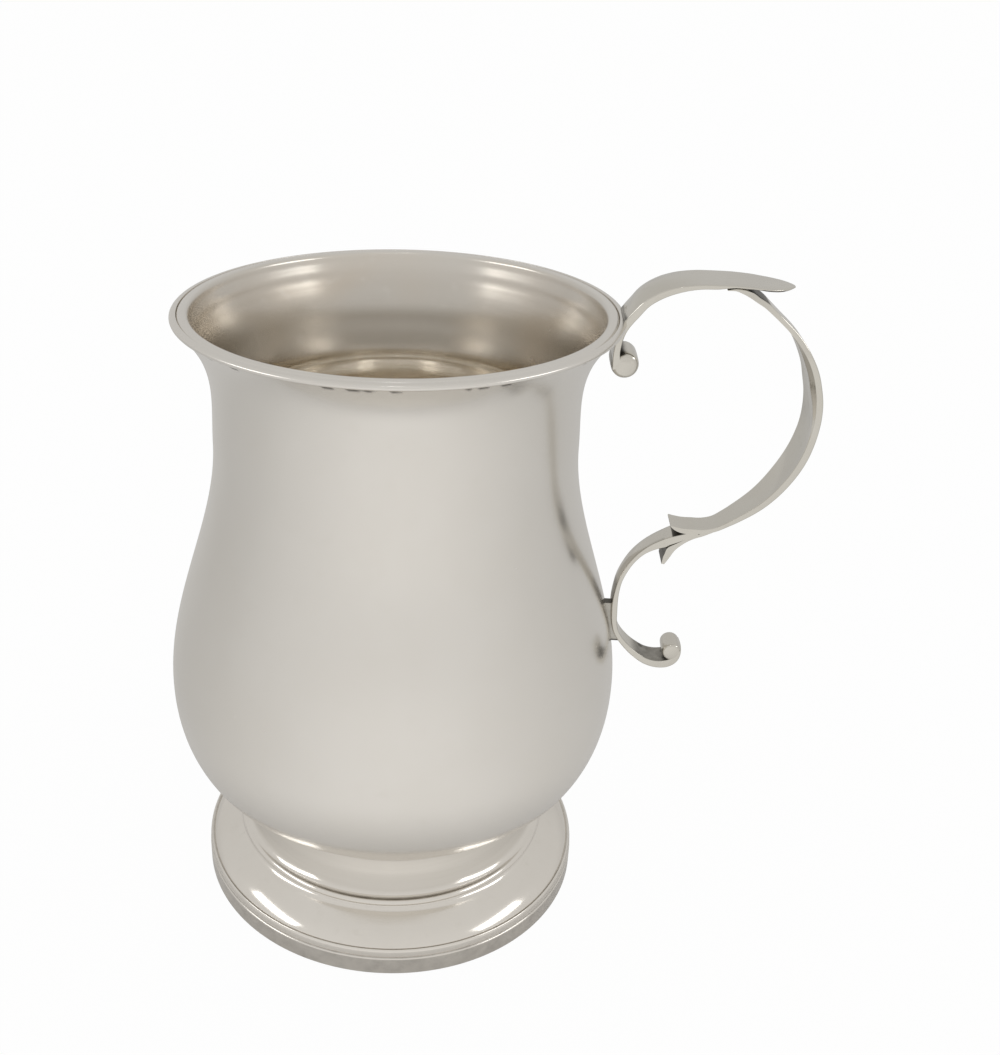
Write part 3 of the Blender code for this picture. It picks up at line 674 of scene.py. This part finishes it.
# grip, along the outer line: s, z, thickness, half width, inner facet's depth and breadth
gripScroll = {
    "line": [
        (59.0, 133.70, 0.10, 4.90, 0.0, 0.0), (60.6, 133.95, 0.45, 4.75, 0.0, 0.0),
        (62.2, 133.75, 0.85, 4.55, 0.0, 0.0), (63.6, 133.30, 1.10, 4.30, 0.0, 0.0),
        (65.1, 132.25, 1.05, 3.80, 0.0, 0.0), (66.7, 131.2, 1.05, 3.30, 0.0, 0.0),
        (68.4, 129.7, 0.97, 2.90, 0.0, 0.0), (70.0, 128.25, 0.92, 2.75, 0.0, 0.0),
        (71.5, 126.9, 0.92, 2.85, 0.0, 0.0), (72.9, 125.55, 1.02, 3.15, 0.05, 0.05),
        (74.1, 124.2, 1.35, 3.50, 0.35, 0.5), (75.95, 121.5, 1.75, 4.10, 0.75, 1.05),
        (77.3, 118.85, 1.95, 4.45, 0.85, 1.1), (78.2, 116.1, 2.05, 4.65, 0.9, 1.0),
        (78.85, 113.25, 1.90, 4.75, 0.65, 0.65), (79.1, 110.3, 1.70, 4.80, 0.45, 0.35),
        (78.85, 106.3, 1.42, 4.80, 0.12, 0.1), (77.9, 101.8, 1.40, 4.75, 0.05, 0.05),
        (75.1, 95.7, 1.38, 4.40, 0.05, 0.05), (71.6, 91.0, 1.28, 3.80, 0.05, 0.05),
        (67.65, 87.6, 1.12, 3.20, 0.05, 0.05), (65.6, 86.2, 0.97, 2.95, 0.05, 0.05),
        (63.7, 85.1, 0.87, 2.75, 0.05, 0.05), (61.2, 84.35, 0.97, 2.70, 0.04, 0.04),
        (59.2, 84.25, 1.05, 2.70, 0.04, 0.04), (57.7, 84.2, 1.10, 2.70, 0.04, 0.04),
        (56.7, 84.4, 1.00, 2.70, 0.04, 0.04), (55.6, 84.9, 0.75, 2.70, 0.04, 0.04),
        (54.75, 85.6, 0.25, 2.68, 0.03, 0.03)],
    "edge": 0.24, "forkEdge": 0.2, "fork": (66, -3), "forkBelow": 100, "leafGap": 0.01, "leafOver": 128,
    "hollow": (88, 8, 0.28), "hollowBelow": (131, -8),
    "wedgeShade": (130.0, 1.0), "wedgeFrom": (62.4, 0.8), "innerFaceShade": (130, -3, 0.36), "withinOver": (102, 8),
    "spur": (58.3, -0.5), "spurBelow": 90, "crease": (125.5, -2, 0.45), "creaseFrom": (57, 3),
}
# outer spur: outer edge s, z and inner edge s, z
outerSpur = {
    "edges": [
        (66.0, 86.55, 66.0, 86.8), (63.3, 84.95, 63.2, 85.35), (61.2, 83.85, 60.8, 84.4),
        (59.4, 83.1, 58.6, 83.3), (57.3, 81.6, 56.4, 82.0), (56.2, 80.4, 54.75, 80.9),
        (55.4, 78.9, 54.3, 79.6), (54.7, 77.6, 54.0, 78.3), (54.45, 77.2, 53.9, 77.3)],
    "half": 2.692, "low": 0.06, "high": 0.03,
}


def makeGripScroll():
    g = gripScroll
    line = throughPoints(g["line"], 420)
    outer = line[:, :2].copy()
    beneathLeaf = np.interp(outer[:, 0], leafLine[:, 0], leafLine[:, 1]) - g["leafGap"]
    high = outer[:, 1] > g["leafOver"]
    outer[high, 1] = np.minimum(outer[high, 1], beneathLeaf[high])
    inner = outer - leftOf(outer) * line[:, 2:3]
    atFork = past(outer[:, 0], *g["fork"]) * (outer[:, 1] < g["forkBelow"])
    hollow = past(outer[:, 1], *g["hollow"]) * past(outer[:, 1], *g["hollowBelow"])
    grid = strapGrid(inner, outer, line[:, 3], line[:, 4], g["edge"] - g["forkEdge"] * atFork,
                     lowAcross=line[:, 5], hollow=hollow)
    underFace, overFace, _, edgeLine = strapShares(True)
    s, z = alongHandle(grid)
    # painted shade on the grip's outer face under the leaf and on its inner face; tarnish and painted shade in the
    # recess by the spur
    wedgeShade = overFace * past(z, *g["wedgeShade"]) * past(s, *g["wedgeFrom"])
    innerFaceShade = underFace * past(z, *g["innerFaceShade"]) * past(z, *g["withinOver"])
    spur = overFace * past(s, *g["spur"]) * (z < g["spurBelow"])
    crease = edgeLine * past(z, *g["crease"]) * past(s, *g["creaseFrom"])
    gridPiece("gripScroll", "grip_scroll", "castSilver", grid, sharp=20,
              tarnish=np.maximum.reduce([wedgeShade, innerFaceShade, spur, crease]))
    o = outerSpur
    edges = throughPoints(o["edges"], 90)
    horn = strapGrid(edges[:, :2], edges[:, 2:], o["half"], o["low"], o["high"])
    # the spur's face into the recess: tarnish and painted shade
    gridPiece("outerSpur", None, "castSilver", horn, sharp=35, tarnish=strapShares()[1])


# lower scroll and tail, along the outer line: s, z, thickness, half width
lowerScroll = {
    "line": [
        (60.0, 85.0, 1.2, 2.696), (57.7, 84.2, 1.8, 2.696), (55.4, 83.3, 2.1, 2.5),
        (53.6, 82.35, 1.85, 2.3), (51.6, 81.05, 1.35, 2.15), (49.8, 79.45, 0.98, 2.1),
        (48.1, 77.3, 0.85, 2.1), (46.75, 74.7, 0.82, 2.1), (45.95, 72.5, 0.85, 2.1),
        (45.45, 69.7, 0.95, 2.1), (45.25, 67.6, 1.1, 2.1), (45.3, 65.0, 1.15, 2.1),
        (45.6, 62.3, 1.05, 2.13), (46.2, 60.2, 1.0, 2.15), (47.0, 58.8, 1.0, 2.2), (48.6, 56.8, 1.08, 2.3),
        (50.5, 55.0, 1.25, 2.45), (53.2, 53.3, 1.45, 2.62), (55.8, 52.75, 1.65, 2.72),
        (58.0, 53.15, 1.7, 2.746), (59.5, 54.4, 1.4, 2.746), (60.1, 56.3, 0.7, 2.746),
        (60.1, 57.2, 0.3, 2.74)],
    "edge": 0.2, "hollow": -0.2,
    "underRecess": (55.2, 0.4), "underOver": 80, "overRecess": (53.0, 1.2), "overOver": 76,
    "behind": (73.5, -2, 0.6), "behindOver": (66.5, 0.6), "behindWithin": 50,
    "tailSpots": [(57.0, -1.4, 55.0), (56.9, 1.2, 55.0), (52.2, 1.6, 55.2)], "tailReach": 1.2,
    "tail": (48.5, 3, 0.66), "tailBelow": 60, "sides": (0.9, 1.1, 0.42), "sidesWithin": 54,
}
# end roll, its near face level with the tail's side
endVolute = {
    "roll": {"centre": (58.25, 56.6), "length": 5.5, "radius": 1.87, "swell": 0.1, "ease": 0.55, "dome": 0.12},
    "flankShade": (2.65, -0.15), "flankMark": 0.1, "creviceShade": [(56.7, 55.4)], "creviceReach": 0.9,
}
# lug between the scroll and the bowl, set in from the scroll's sides
lug = {
    "low": 57.7, "high": 66.6, "half": 0.9, "edge": 0.06, "intoBowl": 0.15, "intoScroll": 0.5,
    "endBand": 0.4, "endWidth": 0.3, "mark": 0.5,
}


def makeLowerScroll():
    c = lowerScroll
    line = throughPoints(c["line"], 330)
    outer = line[:, :2]
    inner = outer + leftOf(outer) * line[:, 2:3]
    grid = strapGrid(outer, inner, line[:, 3], c["edge"], c["edge"], hollow=c["hollow"])
    underFace, overFace = strapShares()[:2]
    s, z = alongHandle(grid)
    # tarnish and painted shade in the recess up by the fork; painted shade on the inner face behind, where it faces
    # the bowl
    recess = (underFace * past(s, *c["underRecess"]) * (z > c["underOver"])
              + overFace * past(s, *c["overRecess"]) * (z > c["overOver"]))
    behind = underFace * past(z, *c["behind"]) * past(z, *c["behindOver"]) * (s < c["behindWithin"])
    spots = overFace * nearSpots(grid, c["tailSpots"], c["tailReach"])
    tail = overFace * past(s, *c["tail"]) * (z < c["tailBelow"])
    sides = np.maximum(underFace, overFace) * past(np.abs(grid[..., 1]), *c["sides"]) * (s < c["sidesWithin"])
    gridPiece("lowerScroll", "lower_scroll", "castSilver", grid, sharp=35,
              tarnish=np.maximum.reduce([recess, behind, spots, tail, sides]))
    e = endVolute
    roll = rollGrid(**e["roll"])
    # painted shade round the end roll's barrel, deeper where it meets the tail
    flankShade = past(np.abs(roll[..., 1]), *e["flankShade"])
    gridPiece("endVolute", "end_volute", "castSilver", roll, sharp=40,
              tarnish=flankShade * (e["flankMark"] + nearPlaces(roll, e["creviceShade"], e["creviceReach"])))
    heights = np.linspace(lug["low"], lug["high"], 60)
    inBowl = np.column_stack([bowlRadius(heights) - lug["intoBowl"] + axisX - handleX, heights])
    besideBowl = outer[120:240][::-1]  # upward
    inScroll = np.interp(heights, besideBowl[:, 1], besideBowl[:, 0]) + lug["intoScroll"]
    block = strapGrid(np.column_stack([inScroll, heights]), inBowl, lug["half"], lug["edge"], lug["edge"])
    # the lug is darkened all over and more at its ends: painted shade in the gap between scroll and bowl
    upperEnd = past(block[..., 2], lug["high"] - lug["endBand"], lug["endWidth"])
    lowerEnd = past(block[..., 2], lug["low"] + lug["endBand"], -lug["endWidth"])
    gridPiece("lowerLug", "lower_lug", "castSilver", block, sharp=35,
              tarnish=np.maximum(np.maximum(upperEnd, lowerEnd), lug["mark"]))


makeThumbStrap()
makeUpperVolute()
makeGripScroll()
makeLowerScroll()


# camera, floor and light

shot = {"distance": 220.3, "height": 193.66, "pitch": 27.165, "yaw": -0.243, "roll": -0.70, "turn": 5.0,
        "lens": 41.68, "shiftX": 0.1043, "sensor": 36.0, "clip": (0.005, 50.0)}


def makeCamera():
    yaw, pitch, roll, turn = [math.radians(shot[k]) for k in ("yaw", "pitch", "roll", "turn")]
    ahead = np.array([math.sin(yaw) * math.cos(pitch), math.cos(yaw) * math.cos(pitch), -math.sin(pitch)])
    right = np.array([math.cos(yaw), -math.sin(yaw), 0])
    down = np.cross(ahead, right)
    imageX = math.cos(roll) * right + math.sin(roll) * down
    imageY = -math.sin(roll) * right + math.cos(roll) * down
    aboutAxis = np.array([[math.cos(turn), -math.sin(turn), 0], [math.sin(turn), math.cos(turn), 0], [0, 0, 1]])
    place = aboutAxis @ np.array([0, -shot["distance"], shot["height"]]) + np.array([axisX, 0, 0])
    axes = aboutAxis @ np.column_stack([imageX, -imageY, -ahead])
    whole = np.eye(4)
    whole[:3, :3], whole[:3, 3] = axes, place * mm
    data = bpy.data.cameras.new("shot")
    data.sensor_width, data.lens, data.shift_x = shot["sensor"], shot["lens"], shot["shiftX"]
    data.clip_start, data.clip_end = shot["clip"]
    camera = bpy.data.objects.new("shot", data)
    camera.matrix_world = [list(row) for row in whole.T]
    bpy.context.scene.collection.objects.link(camera)
    bpy.context.scene.camera = camera


makeCamera()

# the tent's tone by bearing, from behind round by the left, the camera's side and the right, and the floor's;
# overhead (level, and lean to the camera's side) and how high that starts; the floor's paper, and how much of
# it glows for the camera, for mirrors near the foot and, past the shade, for mirrors further out
tent = {
    "bearings": [
        (-180, 0.56), (-150, 0.67), (-115, 0.59), (-90, 0.64), (-60, 0.74), (-20, 0.80), (0, 0.81),
        (25, 0.79), (55, 0.75), (80, 0.69), (110, 0.63), (150, 0.57), (180, 0.54)],
    "floorBearings": [
        (-180, 0.55), (-150, 0.61), (-115, 0.57), (-90, 0.62), (-60, 0.74), (-20, 0.88), (0, 0.90),
        (25, 0.87), (55, 0.77), (80, 0.68), (110, 0.60), (150, 0.57), (180, 0.55)],
    "warmth": (1.0, 0.985, 0.96), "overhead": (0.70, 0.07), "overheadFrom": (0.0, 0.3), "ambient": 0.9,
    "floor": (0.70, 0.69, 0.675), "floorHalf": 6.0, "cameraShare": 0.97, "nearShare": 0.15, "farShare": 0.75,
    "shade": (0.045, 0.10),
}
toCamera = (math.sin(math.radians(shot["turn"])), -math.cos(math.radians(shot["turn"])), 0.0)
toRight = (-toCamera[1], toCamera[0], 0.0)


# whether a ray is the camera's or a mirror's, as 0 or 1
def seenDirectly(tree):
    light = tree.node("ShaderNodeLightPath")
    ray = [Wire(tree.tree, light.socket.node.outputs[k]) for k in
           ("Is Camera Ray", "Is Glossy Ray", "Is Transmission Ray")]
    return ray[0], tree.sum("MAXIMUM", ray[1], ray[2])


# tent tone along a direction: its bearing, arctan of right over front, read off a ramp
def tentTone(tree, vector, bearings):
    front, right = [tree.node("ShaderNodeVectorMath", {"operation": "DOT_PRODUCT"}, {0: vector, 1: way}, "Value")
                    for way in (toCamera, toRight)]
    bearing = tree.sum("ARCTAN2", right, front) / (2 * math.pi) + 0.5
    stops = [(angle / 360 + 0.5, [level * w for w in tent["warmth"]]) for angle, level in bearings]
    return tree.node("ShaderNodeValToRGB", {"stops": stops}, {0: bearing})


def makeWorld():
    world = bpy.data.worlds.new("tent")
    bpy.context.scene.world = world
    tree = newTree(world)
    camera, mirror = seenDirectly(tree)
    way = tree.node("ShaderNodeTexCoord", out="Generated")
    parts = tree.node("ShaderNodeSeparateXYZ", None, {0: way})
    rise = Wire(tree.tree, parts.socket.node.outputs[2])
    front = tree.node("ShaderNodeVectorMath", {"operation": "DOT_PRODUCT"}, {0: way, 1: toCamera}, "Value")
    level, lean = tent["overhead"]
    overhead = (level + lean * front).mix((0.0, 0.0, 0.0), tent["warmth"])
    glow = rise.between(*tent["overheadFrom"]).mix(tentTone(tree, way, tent["bearings"]), overhead)
    seen = mirror.mix((tent["ambient"],) * 3, glow)
    seen = camera.mix(seen, (1.0, 1.0, 1.0))
    sky = tree.node("ShaderNodeBackground", None, {"Color": seen, "Strength": 1.0})
    tree.node("ShaderNodeOutputWorld", None, {"Surface": sky})


def makeFloor():
    half = tent["floorHalf"]
    mesh = bpy.data.meshes.new("floor")
    mesh.from_pydata([(-half, -half, 0), (half, -half, 0), (half, half, 0), (-half, half, 0)], [], [(0, 1, 2, 3)])
    material = bpy.data.materials.new("paper")
    tree = newTree(material)
    camera, mirror = seenDirectly(tree)
    place = tree.node("ShaderNodeTexCoord", out="Object")
    centred = tree.node("ShaderNodeMapping", None, {"Vector": place, "Location": (-axisX * mm, 0, 0)})
    glow = camera.mix(tentTone(tree, centred, tent["floorBearings"]), (1.0, 1.0, 1.0))
    paper = tree.node("ShaderNodeBsdfDiffuse", None, {"Color": (*tent["floor"], 1)})
    white = tree.node("ShaderNodeEmission", None, {"Color": glow, "Strength": 1.0})
    apart = tree.node("ShaderNodeVectorMath", {"operation": "LENGTH"}, {0: centred}, "Value")
    inMirror = tent["nearShare"] + tent["farShare"] * apart.between(*tent["shade"])
    share = camera * tent["cameraShare"] + mirror * inMirror
    mixed = tree.node("ShaderNodeMixShader", None, {0: share, 1: paper, 2: white})
    tree.node("ShaderNodeOutputMaterial", None, {"Surface": mixed})
    mesh.materials.append(material)
    floor = bpy.data.objects.new("floor", mesh)
    bpy.context.scene.collection.objects.link(floor)


aimHeight = 50  # the lamps face the vessel's axis at this height
# soft lamps by bearing from the camera (right is positive), height angle and distance in mm
lamps = {
    "leftBox": {"bearing": -74, "up": 33, "away": 620, "wide": 320, "tall": 110, "glow": 2.2},
    "rightBox": {"bearing": 70, "up": 33, "away": 620, "wide": 300, "tall": 110, "glow": 2.2},
    "frontLamp": {"bearing": -2, "up": 80, "away": 420, "wide": 14, "tall": 14, "glow": 12.0},
}


def makeLamps():
    for name, lamp in lamps.items():
        bearing, up = math.radians(lamp["bearing"]), math.radians(lamp["up"])
        level = math.cos(bearing) * np.array(toCamera) + math.sin(bearing) * np.array(toRight)
        way = math.cos(up) * level + [0, 0, math.sin(up)]
        place = (np.array([axisX, 0, aimHeight]) + way * lamp["away"]) * mm
        across = np.cross([0, 0, 1], way)
        across /= np.linalg.norm(across)
        whole = np.eye(4)
        whole[:3, :3] = np.column_stack([across, np.cross(way, across), way])
        whole[:3, 3] = place
        data = bpy.data.lights.new(name, "AREA")
        data.shape = "RECTANGLE"
        data.size, data.size_y = lamp["wide"] * mm, lamp["tall"] * mm
        data.energy = lamp["glow"] * math.pi * data.size * data.size_y
        made = bpy.data.objects.new(name, data)
        made.matrix_world = [list(row) for row in whole.T]
        bpy.context.scene.collection.objects.link(made)


makeWorld()
makeFloor()
makeLamps()
bpy.context.scene.view_settings.view_transform = "Standard"
bounces = 32  # the deep bowl mirrors itself
bpy.context.scene.cycles.max_bounces = bpy.context.scene.cycles.glossy_bounces = bounces
print("camera, floor and light made")
